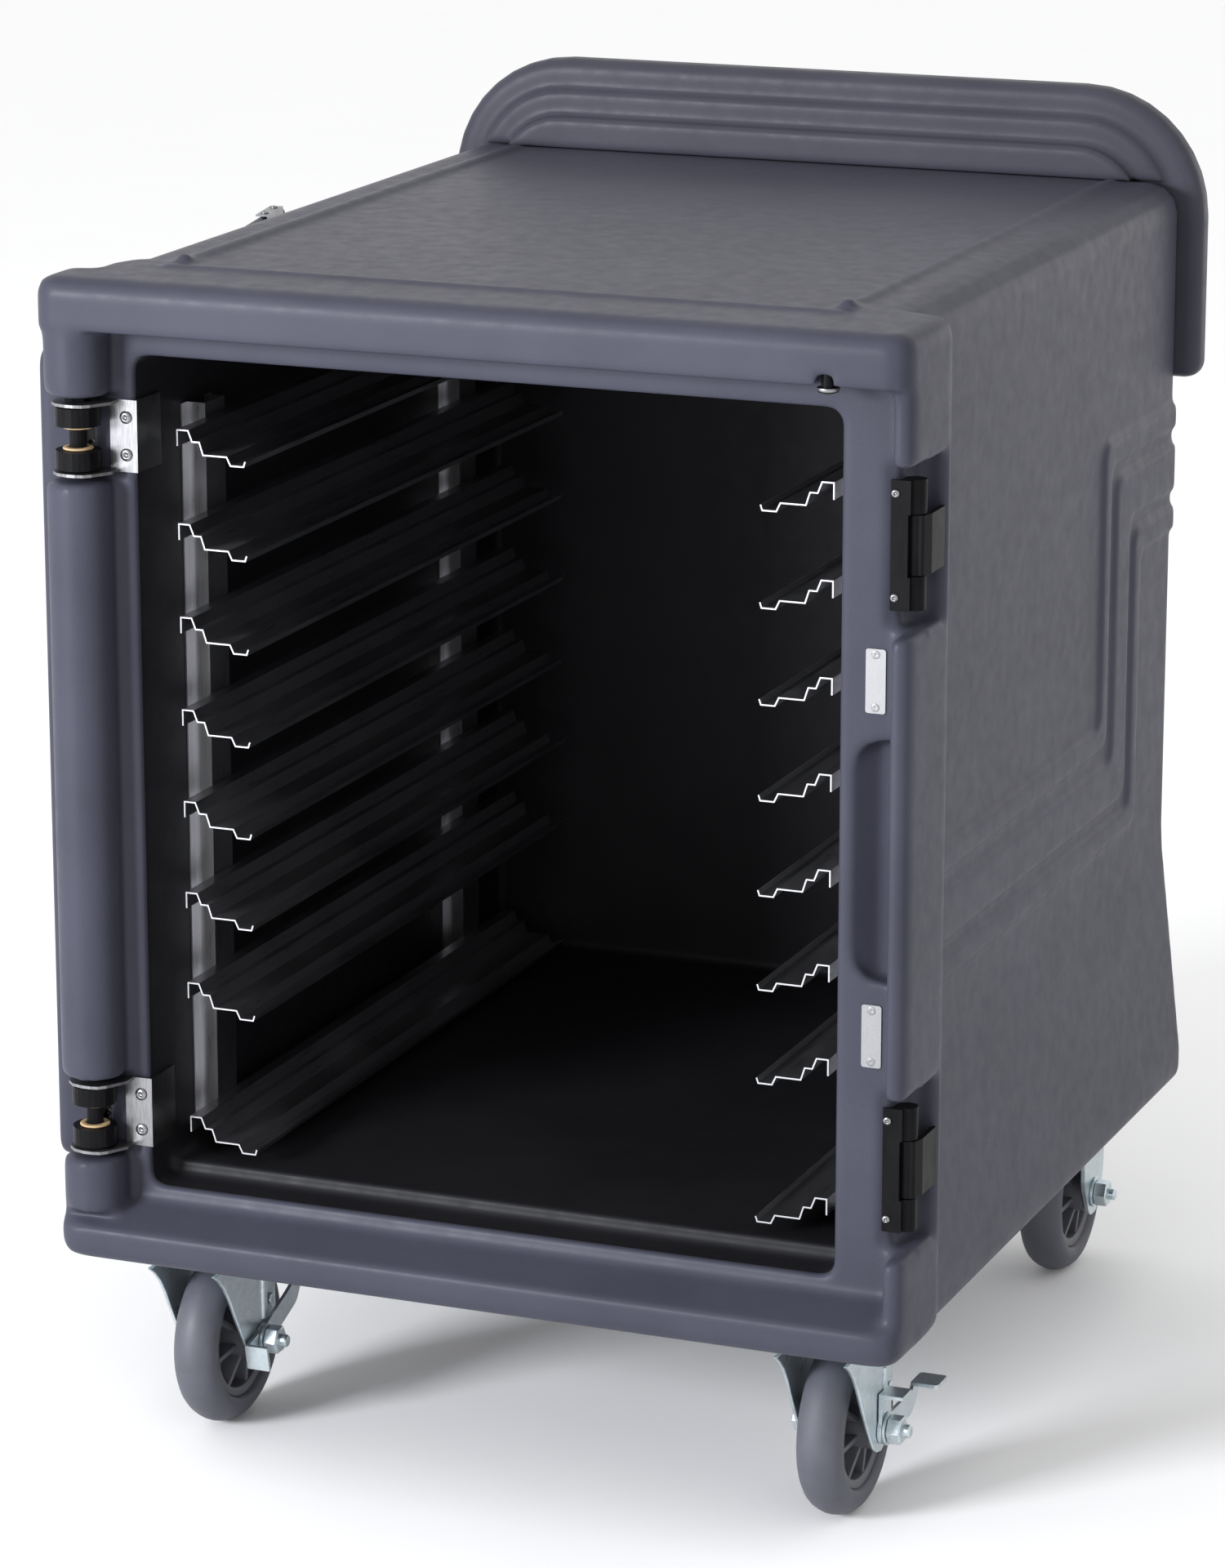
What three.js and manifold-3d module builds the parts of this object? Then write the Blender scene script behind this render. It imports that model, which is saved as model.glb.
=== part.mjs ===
// Insulated food carrier: a moulded, foam-filled cabinet on casters with a side-hung door that swings
// right round against the left wall. Millimetres, +Z up, the front faces -Y, +X is to the right.
// The design frame has x = 0 on the cabinet's centre plane, y = 0 on the header's front face and
// z = 0 on the floor; the finished group is then moved so that its box stands centred on the origin.

import * as THREE from 'three';
import { mergeVertices } from 'three/addons/utils/BufferGeometryUtils.js';
import Module from 'manifold-3d';

const wasm = await Module();
wasm.setup();

// ---------------------------------------------------------------- driving dimensions

const GAP = 0.3;                     // clearance left between touching pieces

const FRAME_HALF = 362;              // half width over the front frame
const WALL_HALF = 334;               // half width over the side walls
const BASE_HALF = 356;               // half width at the flared foot of the walls
const BASE_Z = 174;                  // underside of the cabinet
const TOP_Z = 982;                   // top of the cabinet
const BACK_Y = 803;                  // back of the cabinet
const FLARE_LOW = 205;               // the foot is upright below this height
const FLARE_HIGH = 400;              // the walls are upright above this height
const SKIN = 6;                      // moulded skin thickness
const EDGE_ROUND = 25;               // radius along the top edges of the walls

const RECESS_Y = 42;                 // depth of the face that the door closes on
const SILL_Z = 220;                  // top of the sill, bottom of the door recess
const SILL_FALL = 17;                // fall of the sill towards the front
const HEADER_Z = 938;                // underside of the header, top of the door recess
const RECESS_RIGHT = 345;            // right wall of the door recess
const EAR_DEPTH = 110;               // depth of the frame's ears along the side walls

const OPENING_HALF = 300;            // half width of the cabinet's mouth
const OPENING_LOW = 226;
const OPENING_HIGH = 922;
const FOAM_FRONT = 70;               // front of the foam behind the moulded face
const FOAM_HALF = 328;
const FOAM_LOW = 184;
const FOAM_HIGH = 970;
const LINER_SKIN = 4.7;
const LINER_BACK = 769.7;
const FLOOR_STEP_Y = 78;             // the cabinet floor steps up behind the mouth
const FLOOR_STEP = 12;

const HINGE = { x: -336, y: 26 };    // door hinge axis
const COLUMN_R = 26;                 // round post on the hinge axis
const HINGE_HEIGHTS = { upper: 852, lower: 293 };
const BRACKET_HALF = 29;             // half height of a hinge bracket
const POCKET_HALF = 34;              // half height of the pocket that clears a hinge
const POCKET_Y = 45;
const SHEET = 2.4;                   // hinge and catch sheet steel
const PIN_R = 7;
const RING_R = 18;
const RING_H = 15;

const DOOR_OPEN = 259;               // degrees from shut to the stored pose
const DOOR = { a0: 30, a1: 678, b0: 1, b1: 11, z0: 220, z1: 932 };
const PLUG = { a0: 45, a1: 627, b0: 11.3, b1: 46, z0: 236, z1: 914 };
const PLUG_SKIN = 5;

const LATCH_HEIGHTS = { upper: 816, lower: 324 };
const LATCH_AXIS = { x: 350, y: 56 };
const LATCH_HALF = 50;               // half height of the latch plate
const LATCH_POCKET_HALF = 64;
const PADDLE_HALF = 23;

const RAIL_TOPS = [852, 775.8, 699.6, 623.4, 547.2, 471, 394.8, 280.5];
const RAIL_FACE_X = 277;             // outer flange of a rail
const RAIL_FRONT = 80;
const RAIL_BACK = 735;
const RAIL_GAUGE = 1.2;
const UPRIGHT_YS = { front: 151, rear: 660 };

const CASTER_X = { front: 274, rear: 260 };
const SWIVEL_Y = 92;                 // swivel axis of a front caster
const TRAIL = 44;                    // wheel axle behind the swivel axis
const REAR_AXLE_Y = 752;
const PEDAL_ON = { rest: 0, short: 90 };       // angles of a brake lever's two arms, brake on
const PEDAL_OFF = { rest: 20, short: 172 };    // and with the brake off
const WHEEL_R = 74;
const WHEEL_W = 39;
const PLATE_TOP = BASE_Z - GAP;

const EYELET = { x: 296, y: 10, r: 8, rise: 12 };

const PANEL = { half: 352, round: 110, low: 810, high: 1060, thick: 32 };

// ---------------------------------------------------------------- geometry helpers

const COLOURS = {
  poly: [0x5b5c66, 0.55, 0.0],
  liner: [0x34343a, 0.6, 0.0],
  foam: [0xd9cfa6, 0.95, 0.0],
  steel: [0xb8babd, 0.28, 1.0],
  zinc: [0x9fb0b8, 0.35, 0.9],
  black: [0x1c1c20, 0.45, 0.0],
  rubber: [0x2b2b2e, 0.8, 0.0],
  wheel: [0x70727c, 0.6, 0.0],
};

/** Closed manifold solid from a three.js geometry. */
function solid(geometry) {
  const bare = geometry.clone();
  bare.deleteAttribute('normal');
  bare.deleteAttribute('uv');
  const merged = mergeVertices(bare, 1e-4);
  return new wasm.Manifold(new wasm.Mesh({
    numProp: 3,
    vertProperties: Float32Array.from(merged.attributes.position.array),
    triVerts: Uint32Array.from(merged.index.array),
  }));
}

/** three.js geometry from a manifold solid. */
function geometryOf(body) {
  const { vertProperties, triVerts } = body.getMesh();
  const geometry = new THREE.BufferGeometry();
  geometry.setAttribute('position', new THREE.BufferAttribute(Float32Array.from(vertProperties), 3));
  geometry.setIndex(new THREE.BufferAttribute(Uint32Array.from(triVerts), 1));
  geometry.computeVertexNormals();
  return geometry;
}

function join(...pieces) {
  return geometryOf(pieces.map(solid).reduce((sum, piece) => sum.add(piece)));
}

function cut(base, ...tools) {
  return geometryOf(tools.map(solid).reduce((rest, tool) => rest.subtract(tool), solid(base)));
}

/** Closed outline from [x, y, corner radius] rows, each round corner drawn as short chords. */
function outline(corners) {
  const points = corners.map(([x, y]) => new THREE.Vector2(x, y));
  const path = corners.flatMap(([, , radius = 0], i) => {
    const corner = points[i];
    if (radius === 0) return [corner];
    const back = points.at(i - 1).clone().sub(corner).normalize();
    const ahead = points[(i + 1) % points.length].clone().sub(corner).normalize();
    const half = Math.acos(THREE.MathUtils.clamp(back.dot(ahead), -1, 1)) / 2;
    const start = corner.clone().addScaledVector(back, radius / Math.tan(half));
    const middle = back.clone().add(ahead).normalize();
    const centre = corner.clone().addScaledVector(middle, radius / Math.sin(half));
    const sweep = (Math.PI - 2 * half) * (back.cross(ahead) > 0 ? -1 : 1);
    const steps = Math.ceil(Math.abs(sweep) / THREE.MathUtils.degToRad(radius > 40 ? 11 : 31));
    return Array.from({ length: steps + 1 }, (_, k) =>
      start.clone().rotateAround(centre, (sweep * k) / steps));
  });
  return new THREE.Shape(path);
}

function rectangle(x0, x1, y0, y1, radius = 0) {
  return outline([[x0, y0, radius], [x1, y0, radius], [x1, y1, radius], [x0, y1, radius]]);
}

/** Extrusion of a shape between two levels, its end edges eased by `bevel`. */
function extrude(shape, low, high, bevel = 0) {
  const geometry = new THREE.ExtrudeGeometry(shape, {
    depth: high - low - 2 * bevel,
    bevelEnabled: bevel > 0,
    bevelThickness: bevel,
    bevelSize: bevel,
    bevelOffset: -bevel,
    bevelSegments: 2,
  });
  return geometry.translate(0, 0, low + bevel);
}

/** XY outline extruded along Z. */
function prismZ(shape, z0, z1, bevel) {
  return extrude(shape, z0, z1, bevel);
}

/** XZ outline extruded along Y. */
function prismY(shape, y0, y1, bevel) {
  return extrude(shape, -y1, -y0, bevel).rotateX(Math.PI / 2);
}

/** YZ outline extruded along X. */
function prismX(shape, x0, x1, bevel) {
  const turn = new THREE.Matrix4().makeBasis(
    new THREE.Vector3(0, 1, 0),
    new THREE.Vector3(0, 0, 1),
    new THREE.Vector3(1, 0, 0),
  );
  return extrude(shape, x0, x1, bevel).applyMatrix4(turn);
}

function box(x0, x1, y0, y1, z0, z1) {
  const geometry = new THREE.BoxGeometry(x1 - x0, y1 - y0, z1 - z0);
  return geometry.translate((x0 + x1) / 2, (y0 + y1) / 2, (z0 + z1) / 2);
}

/** Upright cylinder. */
function drumZ(x, y, radius, z0, z1, sides = 24) {
  const geometry = new THREE.CylinderGeometry(radius, radius, z1 - z0, sides).rotateX(Math.PI / 2);
  return geometry.translate(x, y, (z0 + z1) / 2);
}

/** Cylinder across the cabinet. */
function drumX(y, z, radius, x0, x1, sides = 24) {
  const geometry = new THREE.CylinderGeometry(radius, radius, x1 - x0, sides).rotateZ(Math.PI / 2);
  return geometry.translate((x0 + x1) / 2, y, z);
}

/** Cylinder running front to back. */
function drumY(x, z, radius, y0, y1, sides = 24) {
  const geometry = new THREE.CylinderGeometry(radius, radius, y1 - y0, sides);
  return geometry.translate(x, (y0 + y1) / 2, z);
}

/** Strip of sheet that follows a centre line, as a closed outline. */
function strip(line, gauge) {
  const points = line.map(([x, y]) => new THREE.Vector2(x, y));
  const offset = (side) => points.map((point, i) => {
    const before = point.clone().sub(points[Math.max(i - 1, 0)]);
    const after = points[Math.min(i + 1, points.length - 1)].clone().sub(point);
    const first = before.lengthSq() > 0 ? before.normalize() : after.clone().normalize();
    const second = after.lengthSq() > 0 ? after.normalize() : first;
    const normal = new THREE.Vector2(-first.y - second.y, first.x + second.x).normalize();
    const stretch = 1 / Math.max(normal.x * -first.y + normal.y * first.x, 0.4);
    return point.clone().addScaledVector(normal, (side * gauge * stretch) / 2);
  });
  return new THREE.Shape([...offset(-1), ...offset(1).reverse()]);
}

const carrier = new THREE.Group();

/** Adds one named sub-part to a group. */
function part(name, geometry, look, parent = carrier) {
  const [color, roughness, metalness] = COLOURS[look];
  const mesh = new THREE.Mesh(geometry, new THREE.MeshStandardMaterial({ color, roughness, metalness }));
  mesh.name = name;
  parent.add(mesh);
  return mesh;
}

// ---------------------------------------------------------------- cabinet

/** Front-view outline of the body: upright walls on a flared foot, grown by `grow`. */
function bodyOutline(grow = 0) {
  const wall = WALL_HALF + grow;
  const base = BASE_HALF + grow;
  return outline([
    [-base, BASE_Z, 14], [base, BASE_Z, 14],
    [base, FLARE_LOW, 30], [wall, FLARE_HIGH, 200],
    [wall, TOP_Z, EDGE_ROUND], [-wall, TOP_Z, EDGE_ROUND],
    [-wall, FLARE_HIGH, 200], [-base, FLARE_LOW, 30],
  ]);
}

/** Plan outline of the front frame, whose ears stand proud of the side walls. */
function frameOutline() {
  const step = FRAME_HALF - 21;
  return outline([
    [-FRAME_HALF, 0, 17], [FRAME_HALF, 0, 17],
    [FRAME_HALF, EAR_DEPTH, 14], [WALL_HALF - 4, EAR_DEPTH + 12],
    [-WALL_HALF + 4, EAR_DEPTH + 12], [-step, 92],
    [-step, 66, 4], [-FRAME_HALF, 60, 14],
  ]);
}

/** Plan outline of the right-hand post beside the door. */
function rightPostOutline() {
  return outline([
    [RECESS_RIGHT, 60], [RECESS_RIGHT, 10, 5], [FRAME_HALF, 10, 11.5], [FRAME_HALF, 60],
  ]);
}

/** One raised band of the side relief: in from the back edge, down, then forward to the ear. */
function reliefBand(side, topZ, lowZ, backY, width) {
  const band = outline([
    [BACK_Y - 8, topZ], [backY, topZ, 14], [backY, lowZ + width, 14], [EAR_DEPTH + 10, lowZ + width],
    [EAR_DEPTH + 10, lowZ], [backY + width, lowZ, 14], [backY + width, topZ - width, 14],
    [BACK_Y - 8, topZ - width],
  ]);
  const outer = WALL_HALF + 3.6;
  const inner = WALL_HALF - 2;
  return side > 0 ? prismX(band, inner, outer, 1.2) : prismX(band, -outer, -inner, 1.2);
}

function reliefs() {
  const bands = [[789, 527, 587, 19.5], [754, 470, 622, 40], [699, 437, 676, 19.5]];
  return [-1, 1].flatMap((side) => bands.map((band) => reliefBand(side, ...band)));
}

/** Beads on the cabinet's top: one along the front and one down each side, with a knob at its front end. */
function topBeads() {
  const across = prismX(outline([[76, TOP_Z - 2], [88, TOP_Z - 2], [85, TOP_Z + 3, 2], [79, TOP_Z + 3, 2]]),
    -284, 284);
  const along = [-1, 1].map((side) => {
    const x = side * 278;
    const section = outline([
      [x - 8, TOP_Z - 2], [x + 8, TOP_Z - 2], [x + 4, TOP_Z + 4, 3], [x - 4, TOP_Z + 4, 3],
    ]);
    return prismY(section, 98, 776);
  });
  const knobs = [-1, 1].map((side) => drumZ(side * 278, 102, 6, TOP_Z - 2, TOP_Z + 8, 16));
  return [across, ...along, ...knobs];
}

/** Pocket in the right post that holds a latch and opens to the side. */
function latchPocket(z) {
  const plan = outline([
    [331, RECESS_Y - 10], [331, RECESS_Y + 5, 3], [341, RECESS_Y + 5], [341, 95, 8],
    [FRAME_HALF + 20, 95], [FRAME_HALF + 20, -10], [343, -10], [343, RECESS_Y - 10],
  ]);
  return prismZ(plan, z - LATCH_POCKET_HALF, z + LATCH_POCKET_HALF);
}

/** Finger recess beside the door's free edge. */
function fingerRecess() {
  const face = rectangle(307, FRAME_HALF + 12, 474, 664, 24);
  const scoop = outline([[307, 30], [352, 20], [352, 44, 5], [341, 59, 8], [325, 59, 8], [307, 43]]);
  return geometryOf(solid(prismY(face, 20, 70)).intersect(solid(prismZ(scoop, 460, 680))));
}

function cabinetShell() {
  const body = prismY(bodyOutline(), 30, BACK_Y, 12);
  const frame = prismZ(frameOutline(), BASE_Z, TOP_Z, 12);
  const recess = prismX(
    outline([
      [-20, SILL_Z - SILL_FALL], [0, SILL_Z - SILL_FALL], [RECESS_Y, SILL_Z, 6],
      [RECESS_Y, HEADER_Z, 5], [-20, HEADER_Z + 4],
    ]),
    -FRAME_HALF - 20, FRAME_HALF + 20,
  );
  const leftSide = box(-FRAME_HALF - 5, -WALL_HALF, RECESS_Y - 1, 140, SILL_Z - 3, HEADER_Z);
  const mouth = prismY(rectangle(-OPENING_HALF, OPENING_HALF, OPENING_LOW, OPENING_HIGH, 14),
    RECESS_Y - 12, FOAM_FRONT + 1);
  const foamRoom = prismY(rectangle(-FOAM_HALF, FOAM_HALF, FOAM_LOW, FOAM_HIGH, 16),
    FOAM_FRONT, BACK_Y - SKIN);
  const leftPost = drumZ(HINGE.x, HINGE.y, COLUMN_R, SILL_Z - 6, HEADER_Z + 6, 32);
  const rightPost = prismZ(rightPostOutline(), SILL_Z - 12, HEADER_Z + 8);
  const hingePockets = Object.values(HINGE_HEIGHTS).flatMap((z) => [
    box(-FRAME_HALF - 5, -WALL_HALF, -5, 60, z - POCKET_HALF, z + POCKET_HALF),
    box(-WALL_HALF, -OPENING_HALF + 12, -5, POCKET_Y, z - POCKET_HALF, z + POCKET_HALF),
    drumZ(HINGE.x, HINGE.y, RING_R + 3, z - POCKET_HALF, z + POCKET_HALF),
  ]);
  const solidBody = join(body, frame, ...topBeads());
  const recessed = cut(solidBody, recess, leftSide);
  const posted = join(recessed, leftPost, rightPost, ...reliefs());
  return cut(
    posted, mouth, foamRoom, fingerRecess(), ...hingePockets,
    ...Object.values(LATCH_HEIGHTS).map(latchPocket),
  );
}

/** Inner skin of the cabinet, open at the front, with a floor that steps up behind the mouth. */
function cabinetLiner() {
  const outer = prismY(
    rectangle(-OPENING_HALF + GAP, OPENING_HALF - GAP, OPENING_LOW + GAP, OPENING_HIGH - GAP, 14),
    RECESS_Y, LINER_BACK,
  );
  const half = OPENING_HALF - GAP - LINER_SKIN;
  const low = OPENING_LOW + GAP + LINER_SKIN;
  const high = OPENING_HIGH - GAP - LINER_SKIN;
  const front = prismY(rectangle(-half, half, low, high, 10), RECESS_Y - 5, FLOOR_STEP_Y);
  const rear = prismY(rectangle(-half, half, low + FLOOR_STEP, high, 10),
    FLOOR_STEP_Y - 1, LINER_BACK - LINER_SKIN);
  const notches = Object.values(HINGE_HEIGHTS).map((z) =>
    box(-OPENING_HALF - 5, -half + 1, RECESS_Y - 5, POCKET_Y, z - POCKET_HALF, z + POCKET_HALF));
  return cut(outer, front, rear, ...notches);
}

function cabinetFoam() {
  const outer = prismY(
    rectangle(-FOAM_HALF + GAP, FOAM_HALF - GAP, FOAM_LOW + GAP, FOAM_HIGH - GAP, 16),
    FOAM_FRONT + GAP, BACK_Y - SKIN - GAP,
  );
  const room = prismY(rectangle(-OPENING_HALF, OPENING_HALF, OPENING_LOW, OPENING_HIGH, 14),
    FOAM_FRONT - 5, LINER_BACK + GAP);
  return cut(outer, room);
}

/** Push panel at the back: a rounded board that stands above the top, stepped on its front. */
function rearPanel() {
  const { half, round, low, high, thick } = PANEL;
  const front = BACK_Y + GAP;
  const board = prismY(
    outline([[-half, low, 12], [half, low, 12], [half, high, round], [-half, high, round]]),
    front, front + thick, 9,
  );
  const step = (inset, proud) => prismY(
    outline([
      [-half + inset, low + 60, 10], [half - inset, low + 60, 10],
      [half - inset, high - inset, round - inset], [-half + inset, high - inset, round - inset],
    ]),
    front - proud, front + 4, 3,
  );
  const cabinetTop = box(-half, half, BACK_Y - 40, front, low, TOP_Z + GAP);
  return join(board, cut(join(step(27, 7), step(50, 17)), cabinetTop));
}

part('cabinet_shell', cabinetShell(), 'poly');
part('cabinet_liner', cabinetLiner(), 'liner');
part('cabinet_foam', cabinetFoam(), 'foam');
part('rear_panel', rearPanel(), 'poly');

// ---------------------------------------------------------------- rack

/** Centre line of a rail's folded section, from the wall inwards: [inward, down]. */
const RAIL_FOLDS = [
  [0, 13], [0, 0], [9.5, 0], [13, 8.8], [19.2, 8.8], [22.5, 18.9],
  [43.1, 18.9], [46.4, 25.7], [57.8, 25.7], [59.2, 21.4],
];

function rail(side, top) {
  const line = RAIL_FOLDS.map(([inward, down]) => [side * (RAIL_FACE_X - 0.8 - inward), top - down]);
  const shape = strip(line, RAIL_GAUGE);
  return prismY(shape, RAIL_FRONT, RAIL_BACK);
}

/** Hat-section upright fixed to the liner wall. */
function upright(side, y) {
  const wall = OPENING_HALF - GAP - LINER_SKIN - GAP;
  const face = RAIL_FACE_X + GAP;
  const line = [
    [wall - 0.6, y - 27], [wall - 0.6, y - 17], [face + 0.6, y - 17],
    [face + 0.6, y + 17], [wall - 0.6, y + 17], [wall - 0.6, y + 27],
  ];
  const shape = strip(line.map(([x, depth]) => [side * x, depth]), RAIL_GAUGE);
  return prismZ(shape, 258, 864);
}

for (const [name, side] of [['left', -1], ['right', 1]]) {
  RAIL_TOPS.forEach((top, i) => part(`rail_${name}_${i + 1}`, rail(side, top), 'steel'));
  for (const [place, y] of Object.entries(UPRIGHT_YS)) {
    part(`upright_${name}_${place}`, upright(side, y), 'steel');
  }
}

// ---------------------------------------------------------------- hinges on the cabinet

/** Bracket: a plate on the post, a leg inside the mouth and two ears round the pin. */
function hingeBracket(z) {
  const inner = -OPENING_HALF + GAP + LINER_SKIN + GAP;
  const plate = box(-316, inner, POCKET_Y - GAP - SHEET, POCKET_Y - GAP, z - BRACKET_HALF, z + BRACKET_HALF);
  const leg = box(inner, inner + SHEET, POCKET_Y - GAP - SHEET, 84, z - BRACKET_HALF, z + BRACKET_HALF);
  const earShape = outline([
    [HINGE.x - 20, HINGE.y - 20, 19], [HINGE.x + 14, HINGE.y - 20, 13],
    [HINGE.x + 27.5, HINGE.y + 4], [HINGE.x + 27.5, POCKET_Y - GAP - SHEET],
    [inner + SHEET, POCKET_Y - GAP - SHEET], [inner + SHEET, POCKET_Y - GAP],
    [HINGE.x + 20, POCKET_Y - GAP], [HINGE.x - 20, HINGE.y + 18, 19],
  ]);
  const ears = [z - BRACKET_HALF, z + BRACKET_HALF - SHEET].map((low) => prismZ(earShape, low, low + SHEET));
  const bore = drumZ(HINGE.x, HINGE.y, PIN_R + GAP, z - 40, z + 40, 16);
  return cut(join(plate, leg, ...ears), bore);
}

/** Pin with a head above and a nut below the bracket. */
function hingePin(z) {
  return join(
    drumZ(HINGE.x, HINGE.y, PIN_R, z - BRACKET_HALF - 3.5, z + BRACKET_HALF + 3.5, 16),
    drumZ(HINGE.x, HINGE.y, 10, z + BRACKET_HALF + GAP, z + BRACKET_HALF + 4, 6),
  );
}

for (const [place, z] of Object.entries(HINGE_HEIGHTS)) {
  part(`hinge_bracket_${place}`, hingeBracket(z), 'steel');
  part(`hinge_pin_${place}`, hingePin(z), 'black');
}

// ---------------------------------------------------------------- door

const door = new THREE.Group();
door.position.set(HINGE.x, HINGE.y, 0);
door.rotation.z = -THREE.MathUtils.degToRad(DOOR_OPEN);
carrier.add(door);

const ARM_BACK = 10;

/** Outer skin of the door, with a tray for the foam and a notch for each hinge arm. */
function doorShell() {
  const { a0, a1, b0, b1, z0, z1 } = DOOR;
  const slab = prismY(rectangle(a0, a1, z0, z1, 12), b0, b1, 3);
  const tray = box(PLUG.a0 + 6, PLUG.a1 - 6, b0 + 4.5, b1 + 1, PLUG.z0 + 6, PLUG.z1 - 6);
  const notches = Object.values(HINGE_HEIGHTS).map((z) =>
    box(a0 - 5, PLUG.a0 + 5, b0 - 5, b1 + 5, z - RING_H - 12.5, z + RING_H + 12.5));
  return cut(slab, tray, ...notches);
}

/** Plug skin that enters the cabinet's mouth. */
function doorPanel() {
  const { a0, a1, b0, b1, z0, z1 } = PLUG;
  const plug = prismY(rectangle(a0, a1, z0, z1, 16), b0 - 7, b1, 7);
  const trim = box(a0 - 5, a1 + 5, b0 - 10, b0, z0 - 5, z1 + 5);
  const hollow = box(a0 + PLUG_SKIN, a1 - PLUG_SKIN, b0 - 5, b1 - PLUG_SKIN, z0 + PLUG_SKIN, z1 - PLUG_SKIN);
  return cut(plug, trim, hollow);
}

function doorFoam() {
  const inset = 6 + GAP;
  return box(
    PLUG.a0 + inset, PLUG.a1 - inset, DOOR.b0 + 4.5 + GAP, PLUG.b1 - PLUG_SKIN - GAP,
    PLUG.z0 + inset, PLUG.z1 - inset,
  );
}

/** Seal round the plug, seated on the door's flange. */
function doorGasket() {
  const { a0, a1, z0, z1 } = PLUG;
  const ring = rectangle(a0 - 9, a1 + 9, z0 - 9, z1 + 9, 18);
  ring.holes.push(rectangle(a0 - 1, a1 + 1, z0 - 1, z1 + 1, 12));
  const seal = prismY(ring, DOOR.b1 + GAP, DOOR.b1 + GAP + 4);
  const notches = Object.values(HINGE_HEIGHTS).map((z) =>
    box(a0 - 20, a0 - 5, DOOR.b1, DOOR.b1 + 9, z - RING_H - 12.5, z + RING_H + 12.5));
  return cut(seal, ...notches);
}

/** Hinge arm: two rings on the pin joined to a block let into the door's edge. */
function hingeArm(z) {
  const rise = BRACKET_HALF - SHEET - 1.8;
  const ringAt = (low) => join(
    drumZ(0, 0, RING_R, low, low + RING_H),
    box(0, DOOR.a0 + 4, DOOR.b0, ARM_BACK, low, low + RING_H),
  );
  const block = box(DOOR.a0 + 0.5, PLUG.a0 + 4.5, DOOR.b0, ARM_BACK, z - rise, z + rise);
  const bore = drumZ(0, 0, PIN_R + GAP, z - 40, z + 40, 16);
  return cut(join(ringAt(z - rise), ringAt(z + rise - RING_H), block), bore);
}

/** Keeper on the door's free edge: a plate on the face with a lip round the edge. */
function doorCatch(z) {
  const { a1, b0, b1 } = DOOR;
  return join(
    box(a1 - 34, a1 + 1.8, b0 - GAP - 1.5, b0 - GAP, z - 22, z + 22),
    box(a1 + GAP, a1 + 1.8, b0 - GAP - 1.5, b1 - 1, z - 22, z + 22),
  );
}

/** Lock bracket over the door's top edge near its free corner. */
function lockBracket() {
  const { b0, b1, z1 } = DOOR;
  const plate = box(604, 656, b0 - GAP - 1.5, b1, z1 + GAP, z1 + GAP + 1.6);
  const face = box(604, 656, b0 - GAP - 1.5, b0 - GAP, z1 - 22, z1 + GAP + 1.6);
  return cut(join(plate, face), drumY(642, z1 - 9, 4.5, -6, 6, 16));
}

function doorMagnet(z) {
  return box(648, 666, DOOR.b1 + GAP, DOOR.b1 + GAP + 3.4, z - 24, z + 24);
}

part('door_shell', doorShell(), 'poly', door);
part('door_panel', doorPanel(), 'poly', door);
part('door_foam', doorFoam(), 'foam', door);
part('door_gasket', doorGasket(), 'rubber', door);
part('door_lock_bracket', lockBracket(), 'steel', door);
for (const [place, z] of Object.entries(HINGE_HEIGHTS)) {
  part(`hinge_arm_${place}`, hingeArm(z), 'black', door);
}
for (const [place, z] of Object.entries(LATCH_HEIGHTS)) {
  part(`door_catch_${place}`, doorCatch(z), 'steel', door);
}

// ---------------------------------------------------------------- latches and strikes

const STRIKE_HEIGHTS = { upper: 711, lower: 431 };

/** Latch base: a screwed plate with a knuckle above and below the paddle. */
function latchBase(z) {
  const floorY = RECESS_Y + 5 - GAP;
  const plate = box(334.5, 348, floorY - 3, floorY, z - LATCH_HALF, z + LATCH_HALF);
  const knuckle = (low, high) => join(
    drumZ(LATCH_AXIS.x, LATCH_AXIS.y, 8.5, low, high, 20),
    box(342, LATCH_AXIS.x, floorY - 3, LATCH_AXIS.y + 5, low, high),
  );
  const post = cut(
    join(plate, knuckle(z - LATCH_HALF, z - PADDLE_HALF - 1), knuckle(z + PADDLE_HALF + 1, z + LATCH_HALF)),
    box(330, 341.4, floorY, 80, z - 60, z + 60),
  );
  return join(post, drumZ(LATCH_AXIS.x, LATCH_AXIS.y, 2.5, z - PADDLE_HALF - 3, z + PADDLE_HALF + 3, 10));
}

/** Latch paddle: a sprung barrel with a finger plate that lies along the frame's side. */
function latchPaddle(z) {
  const barrel = drumZ(LATCH_AXIS.x, LATCH_AXIS.y, 7.5, z - PADDLE_HALF, z + PADDLE_HALF, 20);
  const plate = prismZ(
    outline([[352, 50], [358, 50, 2], [361, 62, 4], [361, 94, 2], [357, 94, 2], [357, 66, 3], [350, 62]]),
    z - PADDLE_HALF, z + PADDLE_HALF,
  );
  const bore = drumZ(LATCH_AXIS.x, LATCH_AXIS.y, 2.5 + GAP, z - 40, z + 40, 10);
  return cut(join(barrel, plate), bore);
}

for (const [place, z] of Object.entries(LATCH_HEIGHTS)) {
  part(`latch_base_${place}`, latchBase(z), 'black');
  part(`latch_paddle_${place}`, latchPaddle(z), 'black');
}
for (const [place, z] of Object.entries(STRIKE_HEIGHTS)) {
  const face = rectangle(317, 333, z - 25, z + 25, 2);
  part(`strike_plate_${place}`, prismY(face, RECESS_Y - GAP - 0.8, RECESS_Y - GAP), 'steel');
  part(`door_magnet_${place}`, doorMagnet(z), 'rubber', door);
}

// ---------------------------------------------------------------- casters

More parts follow.
